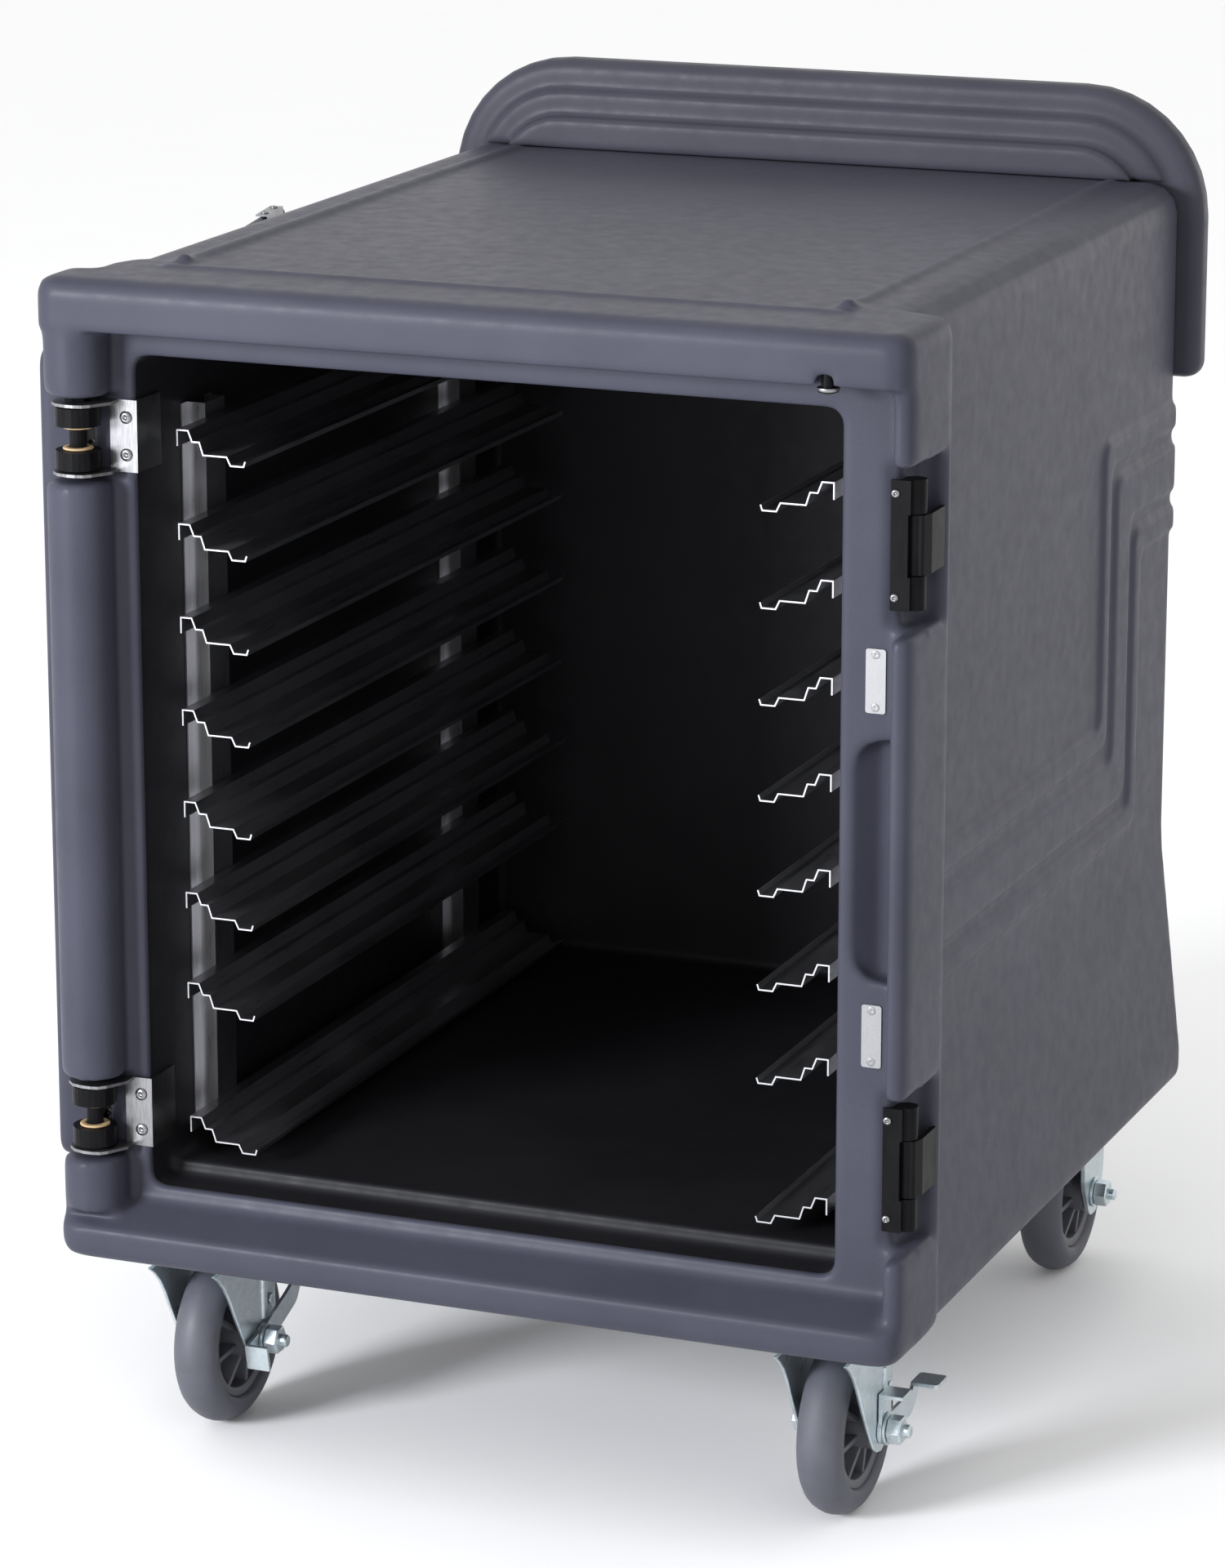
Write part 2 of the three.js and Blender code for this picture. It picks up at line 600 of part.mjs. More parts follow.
/** Round caster wheel with a rounded tread, a dished web and a long hub. */
function wheel() {
  const w = WHEEL_W / 2;
  const half = [
    [7, 26.5], [18, 26.5], [20, 8], [50, 8], [52, w - 2], [57, w], [64, w - 1.5], [70, w - 6], [73, w - 12],
  ];
  const profile = [...half, [WHEEL_R, 0], ...half.map(([r, x]) => [r, -x]).reverse(), half[0]]
    .map(([r, x]) => new THREE.Vector2(r, x));
  return new THREE.LatheGeometry(profile.reverse(), 28).rotateZ(Math.PI / 2);
}

const CROWN_Z = 81;

/** One leg of a swivel fork, in the plane of the wheel: it leans forward from the axle to the crown. */
function trailingLeg() {
  return outline([
    [-11, -18, 12], [11, -18, 12], [14, 30, 20], [14, CROWN_Z], [-86, CROWN_Z], [-61, 58, 20], [-30, 8, 20],
  ]);
}

/** One leg of a fixed fork: upright, and narrower round the axle. */
function uprightLeg() {
  return outline([
    [-11, -20, 12], [11, -20, 12], [28, 12, 20], [30, CROWN_Z], [-30, CROWN_Z], [-28, 12, 20],
  ]);
}

/** Fork over a wheel: axle at the local origin, crown plate above. */
function fork(leg, crownFront, crownBack) {
  const legs = [[-31, -27.5], [27.5, 31]].map(([x0, x1]) => prismX(leg, x0, x1));
  const crown = box(-31, 31, crownFront, crownBack, CROWN_Z - 4, CROWN_Z);
  const axle = drumX(0, 0, 6.5, -37, 37, 12);
  return join(...legs, crown, axle);
}

function casterPlate() {
  return join(
    box(-48, 48, -52, 52, PLATE_TOP - 5, PLATE_TOP),
    drumZ(0, 0, 38, 160, PLATE_TOP - 4, 28),
    drumZ(0, 0, 33, WHEEL_R + CROWN_Z + GAP, 161, 28),
  );
}

/** Brake lever on the axle end: a cranked long arm along +Y and a short one, each with a foot pad. */
function brakePedal(shortAngle) {
  const crank = outline([
    [0, -10], [62, -10, 12], [79, 3, 10], [79, 15], [67, 15], [67, 10, 5], [50, 9, 6], [0, 10],
  ]);
  const longArm = join(prismX(crank, 32, 35), prismZ(rectangle(32, 55, 67, 92, 3), 12, 15));
  const shortArm = join(
    prismX(outline([[0, -11], [31, -11, 3], [31, 11, 3], [0, 11]]), 32, 35),
    box(32, 52, 29, 32, -11, 11),
  ).rotateX(THREE.MathUtils.degToRad(shortAngle));
  const boss = drumX(0, 0, 13, 31.5, 35, 20);
  return cut(join(longArm, shortArm, boss), drumX(0, 0, 6.5 + GAP, -60, 60, 12));
}

function addCaster(place, side, lever) {
  const swivelling = lever !== undefined;
  const x = side * (swivelling ? CASTER_X.front : CASTER_X.rear);
  const axleY = swivelling ? SWIVEL_Y + TRAIL : REAR_AXLE_Y;
  const mountY = swivelling ? SWIVEL_Y : REAR_AXLE_Y - 8;
  const plate = part(`caster_plate_${place}`, casterPlate(), 'zinc');
  plate.position.set(x, mountY, 0);
  const hub = new THREE.Group();
  hub.position.set(x, axleY, WHEEL_R);
  carrier.add(hub);
  const body = swivelling ? fork(trailingLeg(), -86, 14) : fork(uprightLeg(), -30, 30);
  part(`caster_fork_${place}`, body, 'zinc', hub);
  part(`caster_wheel_${place}`, wheel(), 'wheel', hub);
  if (swivelling) {
    const pedal = part(`brake_pedal_${place}`, brakePedal(lever.short), 'zinc', hub);
    pedal.rotation.x = THREE.MathUtils.degToRad(lever.rest);
  }
}

addCaster('front_left', -1, PEDAL_OFF);
addCaster('front_right', 1, PEDAL_ON);
addCaster('rear_left', -1);
addCaster('rear_right', 1);

// ---------------------------------------------------------------- trim

/** Bright stud in a notch of the header's lower edge, over the lock bracket when the door is shut. */
function ventEyelet() {
  return join(
    drumZ(EYELET.x, EYELET.y, EYELET.r, HEADER_Z - 2, HEADER_Z + 1.4, 24),
    drumZ(EYELET.x, EYELET.y, EYELET.r - 2.6, HEADER_Z - 1, HEADER_Z + EYELET.rise - GAP, 24),
  );
}

const shellMesh = carrier.getObjectByName('cabinet_shell');
shellMesh.geometry = cut(
  shellMesh.geometry,
  drumZ(EYELET.x, EYELET.y, EYELET.r + 3, HEADER_Z - 6, HEADER_Z + EYELET.rise, 32),
);
part('vent_eyelet', ventEyelet(), 'steel');

// ---------------------------------------------------------------- origin

const bounds = new THREE.Box3().setFromObject(carrier, true);
const centre = bounds.getCenter(new THREE.Vector3());
carrier.position.set(-centre.x, -centre.y, 0);

export default carrier;
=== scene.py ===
"""Looks of the insulated food carrier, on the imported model's frame. Metres; +Z up, the mouth faces -Y."""

import math

import bmesh
import bpy
import numpy as np
from mathutils import Matrix, Vector


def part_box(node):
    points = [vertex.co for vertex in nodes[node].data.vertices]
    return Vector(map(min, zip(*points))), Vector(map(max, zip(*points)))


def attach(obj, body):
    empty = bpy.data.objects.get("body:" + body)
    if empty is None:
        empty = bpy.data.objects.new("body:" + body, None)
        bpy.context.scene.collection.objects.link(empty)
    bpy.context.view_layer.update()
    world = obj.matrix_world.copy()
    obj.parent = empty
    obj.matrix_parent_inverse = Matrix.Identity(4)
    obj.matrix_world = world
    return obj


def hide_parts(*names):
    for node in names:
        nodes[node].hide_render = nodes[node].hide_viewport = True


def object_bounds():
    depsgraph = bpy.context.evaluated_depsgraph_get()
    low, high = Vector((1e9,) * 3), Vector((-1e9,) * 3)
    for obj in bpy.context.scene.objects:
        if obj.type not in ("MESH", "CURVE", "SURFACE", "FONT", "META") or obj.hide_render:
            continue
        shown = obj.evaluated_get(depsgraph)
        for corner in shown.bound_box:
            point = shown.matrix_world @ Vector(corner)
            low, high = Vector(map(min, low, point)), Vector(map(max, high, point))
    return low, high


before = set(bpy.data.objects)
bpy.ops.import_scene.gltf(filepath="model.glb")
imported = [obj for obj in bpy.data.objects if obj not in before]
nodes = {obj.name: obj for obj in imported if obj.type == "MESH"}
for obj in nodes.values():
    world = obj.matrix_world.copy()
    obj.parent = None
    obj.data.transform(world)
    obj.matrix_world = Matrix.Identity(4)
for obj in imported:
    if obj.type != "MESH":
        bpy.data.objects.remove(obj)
cad_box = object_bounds()
MM = 0.001

# ---------------------------------------------------------------- places, in the cabinet's own millimetres

shell_low, shell_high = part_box("cabinet_shell")
MID_X = (shell_low[0] + shell_high[0]) / 2
FRONT_Y = shell_low[1]
HINGE_X, HINGE_Y = -336, 26
DOOR_TURN = math.radians(-259)
PLACES = {
    "front_left": (-274, 136), "front_right": (274, 136),
    "rear_left": (-260, 752), "rear_right": (260, 752),
}
WHEEL_R = 74
LEG_FACE = 31.3      # outer face of a fork's leg, from the wheel's middle
LEVER_FACE = 35.4    # outer face of the brake lever's boss


def at(x, y, z):
    """Cabinet millimetres to the row frame."""
    return Vector((MID_X + x * MM, FRONT_Y + y * MM, z * MM))


def on_door(a, b, z):
    """Door millimetres (along the door, through it, up) to the row frame."""
    c, s = math.cos(DOOR_TURN), math.sin(DOOR_TURN)
    return at(HINGE_X + a * c - b * s, HINGE_Y + a * s + b * c, z)


DOOR_ACROSS = Vector((-math.sin(DOOR_TURN), math.cos(DOOR_TURN), 0))

# ---------------------------------------------------------------- materials


class Graph:
    """A small builder for one material's nodes."""

    def __init__(self, name):
        self.material = bpy.data.materials.new(name)
        self.material.use_nodes = True
        self.tree = self.material.node_tree
        self.shader = self.tree.nodes["Principled BSDF"]
        self.place = self.tree.nodes.new("ShaderNodeTexCoord").outputs["Object"]

    def node(self, kind, **inputs):
        made = self.tree.nodes.new(kind)
        for key, value in inputs.items():
            self.feed(made.inputs[key.replace("_", " ")], value)
        return made

    def feed(self, socket, value):
        if isinstance(value, bpy.types.NodeSocket):
            self.tree.links.new(value, socket)
        else:
            socket.default_value = value

    def noise(self, scale, detail=3.0, roughness=0.55, stretch=None):
        vector = self.place
        if stretch:
            mapping = self.node("ShaderNodeMapping", Vector=vector, Scale=stretch)
            vector = mapping.outputs[0]
        made = self.node("ShaderNodeTexNoise", Vector=vector, Scale=scale, Detail=detail, Roughness=roughness)
        return made.outputs["Fac"]

    def ramp(self, value, *stops):
        made = self.node("ShaderNodeValToRGB", Fac=value)
        ramp = made.color_ramp
        while len(ramp.elements) < len(stops):
            ramp.elements.new(0.5)
        for element, (position, colour) in zip(ramp.elements, stops):
            element.position = position
            element.color = (*colour, 1) if len(colour) == 3 else colour
        return made.outputs["Color"]

    def span(self, value, low, high, new_low, new_high):
        made = self.node("ShaderNodeMapRange", Value=value)
        for key, number in (("From Min", low), ("From Max", high), ("To Min", new_low), ("To Max", new_high)):
            made.inputs[key].default_value = number
        return made.outputs["Result"]

    def mix(self, factor, first, second, mode="MIX"):
        made = self.tree.nodes.new("ShaderNodeMix")
        made.data_type = "RGBA"
        made.blend_type = mode
        self.feed(made.inputs[0], factor)
        for socket, value in ((made.inputs[6], first), (made.inputs[7], second)):
            self.feed(socket, (*value, 1) if isinstance(value, tuple) else value)
        return made.outputs[2]

    def math(self, operation, first, second=0.0):
        made = self.tree.nodes.new("ShaderNodeMath")
        made.operation = operation
        self.feed(made.inputs[0], first)
        self.feed(made.inputs[1], second)
        return made.outputs[0]

    def bump(self, *layers):
        """Each layer is (height, depth in metres)."""
        normal = None
        for height, depth in layers:
            made = self.node("ShaderNodeBump", Height=height, Distance=depth, Strength=1.0)
            if normal is not None:
                self.feed(made.inputs["Normal"], normal)
            normal = made.outputs["Normal"]
        self.feed(self.shader.inputs["Normal"], normal)

    def finish(self, colour, roughness, metallic=0.0, **constants):
        self.feed(self.shader.inputs["Base Color"], colour)
        self.feed(self.shader.inputs["Roughness"], roughness)
        self.shader.inputs["Metallic"].default_value = metallic
        for key, value in constants.items():
            self.shader.inputs[key.replace("_", " ")].default_value = value
        return self.material


def moulded(name, dark, light, rough=(0.36, 0.46), speckle=0.35, scuffs=0.06, gloss=0.12):
    """Rotationally moulded plastic: fine granular colour, a pebbled skin, faint scuffs low down."""
    g = Graph(name)
    grain = g.noise(1300, 2, 0.6)
    cloud = g.noise(7, 4, 0.6)
    base = g.mix(g.span(cloud, 0.3, 0.7, 0, 1), dark, light)
    flecks = g.ramp(grain, (0.30, (0.72, 0.72, 0.74)), (0.5, (1, 1, 1)), (0.72, (1.22, 1.22, 1.25)))
    base = g.mix(speckle, base, g.mix(1.0, base, flecks, "MULTIPLY"))
    streaks = g.noise(30, 6, 0.72)
    height = g.node("ShaderNodeSeparateXYZ", Vector=g.place).outputs["Z"]
    low = g.span(height, 0.12, 0.55, 1.0, 0.35)
    mask = g.math("MULTIPLY", g.span(streaks, 0.62, 0.78, 0, scuffs), low)
    base = g.mix(mask, base, tuple(min(1.0, c * 1.9 + 0.02) for c in light))
    roughness = g.span(g.noise(60, 4, 0.6), 0.3, 0.7, *rough)
    g.bump((g.noise(620, 3, 0.6), 0.00004), (g.noise(16, 2, 0.5), 0.0003), (grain, 0.00002))
    return g.finish(base, roughness, 0.0, IOR=1.5, Specular_IOR_Level=gloss)


def brushed(name, dark, light, stretch, rough=(0.22, 0.38), metal=1.0):
    """Rolled sheet steel with a fine grain along its length and faint smudges."""
    g = Graph(name)
    grain = g.noise(900, 4, 0.7, stretch)
    smudge = g.noise(16, 5, 0.6)
    tone = g.mix(g.span(grain, 0.3, 0.7, 0, 1), dark, light)
    tone = g.mix(g.span(smudge, 0.5, 0.8, 0, 0.25), tone, tuple(c * 0.72 for c in dark))
    roughness = g.math("ADD", g.span(grain, 0.3, 0.7, *rough), g.span(smudge, 0.45, 0.75, 0, 0.12))
    g.bump((grain, 0.00002), (g.noise(30, 2, 0.5), 0.0002))
    return g.finish(tone, roughness, metal)


def plated(name):
    """Zinc-plated pressings: bluish, a little spangled, dulled in patches."""
    g = Graph(name)
    spangle = g.node("ShaderNodeTexVoronoi", Vector=g.place, Scale=260).outputs["Distance"]
    patches = g.noise(26, 5, 0.65)
    tone = g.mix(g.span(patches, 0.35, 0.7, 0, 1), (0.60, 0.68, 0.72), (0.42, 0.48, 0.52))
    tone = g.mix(g.span(spangle, 0.2, 0.8, 0, 0.3), tone, (0.72, 0.76, 0.74))
    grime = g.span(g.noise(70, 6, 0.7), 0.58, 0.75, 0, 0.45)
    tone = g.mix(grime, tone, (0.20, 0.19, 0.17))
    roughness = g.math("ADD", g.span(patches, 0.3, 0.7, 0.24, 0.40), g.math("MULTIPLY", grime, 0.5))
    g.bump((spangle, 0.00003), (g.noise(240, 3, 0.6), 0.00006))
    return g.finish(tone, roughness, 0.92)


def nylon(name, dark, light, rough=(0.30, 0.46), sheen=0.5):
    """Black glass-filled nylon: satin, with a faint flow pattern."""
    g = Graph(name)
    flow = g.noise(90, 4, 0.65, (1.0, 1.0, 0.4))
    tone = g.mix(g.span(flow, 0.3, 0.7, 0, 1), dark, light)
    g.bump((g.noise(1500, 2, 0.5), 0.00004), (flow, 0.00008))
    return g.finish(tone, g.span(flow, 0.3, 0.7, *rough), 0.0, IOR=1.5, Specular_IOR_Level=sheen)


def tread(name):
    """Grey moulded wheel tread with dusty scuffs round the crown."""
    g = Graph(name)
    cloud = g.noise(24, 5, 0.65)
    dust = g.noise(70, 6, 0.7, (0.35, 1.0, 1.0))
    tone = g.mix(g.span(cloud, 0.3, 0.7, 0, 1), (0.058, 0.060, 0.076), (0.076, 0.078, 0.096))
    tone = g.mix(g.span(dust, 0.55, 0.75, 0, 0.45), tone, (0.052, 0.046, 0.042))
    g.bump((g.noise(700, 3, 0.6), 0.00007), (cloud, 0.0003))
    return g.finish(tone, g.span(cloud, 0.3, 0.7, 0.48, 0.66), 0.0)


def foam(name):
    """Closed-cell urethane."""
    g = Graph(name)
    cells = g.node("ShaderNodeTexVoronoi", Vector=g.place, Scale=700).outputs["Distance"]
    tone = g.mix(g.span(g.noise(18, 4), 0.3, 0.7, 0, 1), (0.70, 0.60, 0.36), (0.78, 0.70, 0.46))
    tone = g.mix(g.span(cells, 0.0, 0.5, 0.4, 0), tone, (0.50, 0.40, 0.20))
    g.bump((cells, 0.0003))
    return g.finish(tone, g.span(cells, 0, 0.7, 0.8, 0.95), 0.0)


LOOKS = {
    "poly": moulded("moulded_poly", (0.040, 0.041, 0.057), (0.050, 0.051, 0.070)),
    "panel": moulded("moulded_panel", (0.040, 0.040, 0.053), (0.050, 0.050, 0.065)),
    # painted shade: the cavity's faces get a much darker, less glossy copy of the same moulded plastic,
    # standing in for the shade inside the cabinet
    "liner": moulded(
        "moulded_liner", (0.010, 0.010, 0.012), (0.014, 0.014, 0.016), (0.42, 0.52), 0.3, 0.0, 0.12
    ),
    "rail": brushed("rail_steel", (0.44, 0.44, 0.46), (0.54, 0.54, 0.56), (1.0, 0.02, 1.0), (0.26, 0.34)),
    "upright": brushed(
        "upright_steel", (0.38, 0.38, 0.40), (0.47, 0.47, 0.49), (1.0, 1.0, 0.02), (0.26, 0.34)
    ),
    "sheet": brushed(
        "sheet_steel", (0.17, 0.17, 0.175), (0.30, 0.30, 0.305), (1.0, 1.0, 0.06), (0.26, 0.38)
    ),
    "bright": brushed(
        "bright_steel", (0.25, 0.25, 0.255), (0.33, 0.33, 0.335), (1.0, 1.0, 1.0), (0.30, 0.42)
    ),
    "screw": brushed("screw_steel", (0.20, 0.20, 0.21), (0.34, 0.34, 0.35), (1.0, 1.0, 1.0), (0.20, 0.32)),
    "zinc": plated("zinc_plate"),
    "black": nylon("black_nylon", (0.003, 0.003, 0.0035), (0.006, 0.006, 0.007), (0.30, 0.44), 0.07),
    "rubber": nylon("seal_rubber", (0.012, 0.012, 0.013), (0.022, 0.022, 0.024), (0.62, 0.8), 0.3),
    "tan": nylon("tan_washer", (0.40, 0.27, 0.14), (0.55, 0.40, 0.23), (0.45, 0.6)),
    "tread": tread("wheel_tread"),
    "core": nylon("wheel_core", (0.070, 0.071, 0.084), (0.092, 0.093, 0.108), (0.4, 0.58)),
    "foam": foam("urethane_foam"),
}

# ---------------------------------------------------------------- the CAD nodes' finish


def dress(name, look, bevel=0.0, segments=2, angle=32):
    """Gives a CAD node its material and, where asked, eased edges."""
    node = nodes[name]
    node.data.materials.clear()
    node.data.materials.append(LOOKS[look])
    for polygon in node.data.polygons:
        polygon.use_smooth = True
    if bevel:
        flat = node.modifiers.new("flats", "DECIMATE")
        flat.decimate_type = "DISSOLVE"
        flat.angle_limit = math.radians(0.6)
        ease = node.modifiers.new("edges", "BEVEL")
        ease.width = bevel * MM
        ease.segments = segments
        ease.limit_method = "ANGLE"
        ease.angle_limit = math.radians(angle)
        ease.harden_normals = False
        ease.miter_outer = "MITER_ARC"
    smooth = node.modifiers.new("normals", "WEIGHTED_NORMAL")
    smooth.keep_sharp = True
    smooth.weight = 80


UL = ("upper", "lower")
for name in ("cabinet_shell", "rear_panel", "cabinet_liner", "door_shell", "door_panel"):
    dress(name, "poly")
for name in ("cabinet_foam", "door_foam"):
    dress(name, "foam")
dress("door_gasket", "rubber", 0.8)
dress("door_lock_bracket", "sheet", 0.5)
dress("vent_eyelet", "black", 0.6)
for side in ("left", "right"):
    for i in range(1, 9):
        dress(f"rail_{side}_{i}", "rail")
    for place in ("front", "rear"):
        dress(f"upright_{side}_{place}", "upright")
for place in UL:
    dress(f"hinge_bracket_{place}", "sheet", 0.7)
    dress(f"hinge_pin_{place}", "black", 0.6)
    dress(f"hinge_arm_{place}", "black", 1.2)
    dress(f"latch_base_{place}", "black", 0.9)
    dress(f"latch_paddle_{place}", "black", 0.9)
    dress(f"door_catch_{place}", "sheet", 0.5)
    dress(f"door_magnet_{place}", "rubber", 0.5)
    dress(f"strike_plate_{place}", "bright", 0.3)
for place in PLACES:
    dress(f"caster_plate_{place}", "zinc", 1.0)
    dress(f"caster_fork_{place}", "zinc", 0.8)
for place in ("front_left", "front_right"):
    dress(f"brake_pedal_{place}", "zinc", 0.8)

# ---------------------------------------------------------------- mesh helpers


def piece(name, mesh_maker, look, body, smooth_angle=35, bevel=0.0, segments=2):
    """A new object from a bmesh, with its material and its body."""
    mesh = bpy.data.meshes.new(name)
    bm = bmesh.new()
    mesh_maker(bm)
    bmesh.ops.remove_doubles(bm, verts=bm.verts, dist=1e-6)
    bmesh.ops.recalc_face_normals(bm, faces=bm.faces)
    bm.to_mesh(mesh)
    bm.free()
    made = bpy.data.objects.new(name, mesh)
    bpy.context.scene.collection.objects.link(made)
    mesh.materials.append(LOOKS[look])
    for polygon in mesh.polygons:
        polygon.use_smooth = True
    if bevel:
        ease = made.modifiers.new("edges", "BEVEL")
        ease.width = bevel * MM
        ease.segments = segments
        ease.limit_method = "ANGLE"
        ease.angle_limit = math.radians(smooth_angle)
    normals = made.modifiers.new("normals", "WEIGHTED_NORMAL")
    normals.weight = 80
    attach(made, body)
    return made


def frame_along(axis):
    """Rotation that takes +Z to an axis."""
    return Vector(axis).normalized().to_track_quat("Z", "Y").to_matrix().to_4x4()


def add_lathe(bm, centre, axis, profile, sides=48):
    """Turned solid: profile rows are (radius, along the axis) in millimetres; a radius of 0 closes it."""
    turn = frame_along(axis)
    rings = []
    for radius, along in profile:
        if radius == 0:
            rings.append([bm.verts.new(Vector(centre) + turn @ Vector((0, 0, along * MM)))])
            continue
        rings.append([
            bm.verts.new(Vector(centre) + turn @ Vector((
                radius * MM * math.cos(2 * math.pi * k / sides),
                radius * MM * math.sin(2 * math.pi * k / sides),
                along * MM,
            )))
            for k in range(sides)
        ])
    for first, second in zip(rings, rings[1:]):
        for k in range(sides):
            m = (k + 1) % sides
            corners = []
            for ring, index in ((first, k), (first, m), (second, m), (second, k)):
                vert = ring[index % len(ring)]
                if vert not in corners:
                    corners.append(vert)
            if len(corners) > 2:
                bm.faces.new(corners)


def add_prism(bm, outline, base, across, up, thickness):
    """Flat plate: outline rows are millimetres along `across` and `up`; its depth is along their product."""
    across, up = Vector(across).normalized(), Vector(up).normalized()
    out = across.cross(up) * thickness * MM
    low = [bm.verts.new(Vector(base) + across * a * MM + up * b * MM) for a, b in outline]
    high = [bm.verts.new(vert.co + out) for vert in low]
    bm.faces.new(list(reversed(low)))
    bm.faces.new(high)
    count = len(low)
    for k in range(count):
        m = (k + 1) % count
        bm.faces.new((low[k], low[m], high[m], high[k]))


def add_rod(bm, points, radius, sides=8):
    """Round rod through points in the row frame, closed at both ends."""
    rings = []
    side = None
    for i, point in enumerate(points):
        ahead = (points[min(i + 1, len(points) - 1)] - points[max(i - 1, 0)]).normalized()
        if side is None:
            side = ahead.orthogonal().normalized()
        side = (side - ahead * side.dot(ahead)).normalized()
        other = ahead.cross(side)
        rings.append([
            bm.verts.new(point + (side * math.cos(t) + other * math.sin(t)) * radius * MM)
            for t in (2 * math.pi * k / sides for k in range(sides))
        ])
    for first, second in zip(rings, rings[1:]):
        for k in range(sides):
            m = (k + 1) % sides
            bm.faces.new((first[k], first[m], second[m], second[k]))
    bm.faces.new(list(reversed(rings[0])))
    bm.faces.new(rings[-1])


def add_screw(bm, centre, axis, radius=4.0, height=2.2, turn=0.0):
    """Pan head with a round dished recess in its top, standing on a surface."""
    rows = [
        (0, -0.4), (radius, -0.4), (radius, 0.35 * height), (radius * 0.86, 0.75 * height),
        (radius * 0.55, 0.96 * height), (radius * 0.42, height), (radius * 0.30, height * 0.45),
        (0, height * 0.35),
    ]
    add_lathe(bm, centre, axis, rows, 20)


def add_hex(bm, centre, axis, across_flats, low, high):
    """Hexagon head or nut with chamfered corners."""
    radius = across_flats / math.sqrt(3)
    rows = [
        (0, low), (radius * 0.9, low), (radius, low + 0.8), (radius, high - 0.9), (radius * 0.88, high),
        (0, high),
    ]
    add_lathe(bm, centre, axis, rows, 6)


# ---------------------------------------------------------------- moulded bodies with soft edges


def even_out(mesh, rounds):
    """Rounds a fine even mesh: a point moves half-way to its neighbours' mean, `rounds` times."""
    count = len(mesh.vertices)
    points = np.empty(count * 3)
    mesh.vertices.foreach_get("co", points)
    points = points.reshape(-1, 3)
    ends = np.empty(len(mesh.edges) * 2, dtype=np.int64)
    mesh.edges.foreach_get("vertices", ends)
    first, second = ends[::2], ends[1::2]
    degree = np.bincount(first, minlength=count) + np.bincount(second, minlength=count)
    turns = rounds(points)
    for turn in range(int(math.ceil(turns.max()))):
        share = 0.5 * np.clip(turns - turn, 0, 1)[:, None]
        mean = np.stack([
            np.bincount(first, points[second, k], count) + np.bincount(second, points[first, k], count)
            for k in range(3)
        ], axis=1) / degree[:, None]
        points = points * (1 - share) + mean * share
    mesh.vertices.foreach_set("co", points.ravel())
    mesh.update()


def applied(source):
    """The mesh of an object with its modifiers applied."""
    graph = bpy.context.evaluated_depsgraph_get()
    return bpy.data.meshes.new_from_object(source.evaluated_get(graph))


def moulding(name, sources, voxel, rounds, keep, looks, body, inside=None):
    """One soft-edged moulding in place of several CAD nodes, in a voxel grid smoothed and then thinned."""
    bm = bmesh.new()
    for source in sources:
        bm.from_mesh(nodes[source].data)
    mesh = bpy.data.meshes.new(name)
    bm.to_mesh(mesh)
    bm.free()
    made = bpy.data.objects.new(name, mesh)
    bpy.context.scene.collection.objects.link(made)
    grid = made.modifiers.new("grid", "REMESH")
    grid.mode = "VOXEL"
    grid.voxel_size = voxel * MM
    made.data = applied(made)
    made.modifiers.clear()
    even_out(made.data, rounds)
    thin = made.modifiers.new("thin", "DECIMATE")
    thin.ratio = keep
    made.data = applied(made)
    made.modifiers.clear()
    made.data.materials.clear()
    for look in looks:
        made.data.materials.append(LOOKS[look])
    for polygon in made.data.polygons:
        polygon.use_smooth = True
        # faces inside the cavity take the painted-shade copy of the plastic
        polygon.material_index = 1 if inside and inside(polygon.center) else 0
    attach(made, body)
    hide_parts(*sources)
    return made


def cabinet_rounds(points):
    """The front frame is the softest; the side bands and the top beads stay crisper."""
    x = (points[:, 0] - MID_X) / MM
    y = (points[:, 1] - FRONT_Y) / MM
    z = points[:, 2] / MM
    post = np.interp(np.abs(x), [333, 341], [0, 7])
    frame_turns = np.interp(z, [920, 935], [6.5, 4]) + np.where(z < 935, post, 0)
    return np.where(y < 56, frame_turns, np.interp(y, [56, 84, 94, 116, 126], [6, 5, 13, 13, 2.2]))


# Picks the faces inside the cavity, which are given the painted-shade copy of the plastic.
def in_cavity(point):
    x, y, z = (point.x - MID_X) / MM, (point.y - FRONT_Y) / MM, point.z / MM
    return abs(x) < 299 and 47 < y < 790 and 228 < z < 921


def same_rounds(count):
    """Every point is rounded the same number of times."""
    return lambda points: np.full(len(points), count)


# the cabinet's cavity faces wear painted shade, a darker copy of the same plastic
moulding("cabinet_moulding", ("cabinet_shell", "cabinet_liner", "cabinet_foam"), 3.0, cabinet_rounds, 0.13,
         ("poly", "liner"), "cabinet", in_cavity)
moulding("rear_moulding", ("rear_panel",), 2.5, same_rounds(3.5), 0.25, ("panel",), "cabinet")
moulding("door_moulding", ("door_shell", "door_panel", "door_foam"), 2.5, same_rounds(4.0), 0.13,
         ("poly",), "door")

# ---------------------------------------------------------------- screws and washers


def screws(name, body, look, places, radius=4.0, height=2.2):
    def make(bm):
        for centre, axis in places:
            add_screw(bm, centre, axis, radius, height)
    return piece(name, make, look, body, bevel=0.0)


FORWARD = (0, -1, 0)
LATCH_HEIGHTS = (("upper", 816), ("lower", 324))
STRIKE_HEIGHTS = (("upper", 711), ("lower", 431))
HINGE_HEIGHTS = (("upper", 852), ("lower", 293))
WASHER = [(7.4, 0), (11.6, 0), (12.2, 0.6), (12.2, 1.4), (11.6, 2.0), (7.4, 2.0), (7.4, 0)]

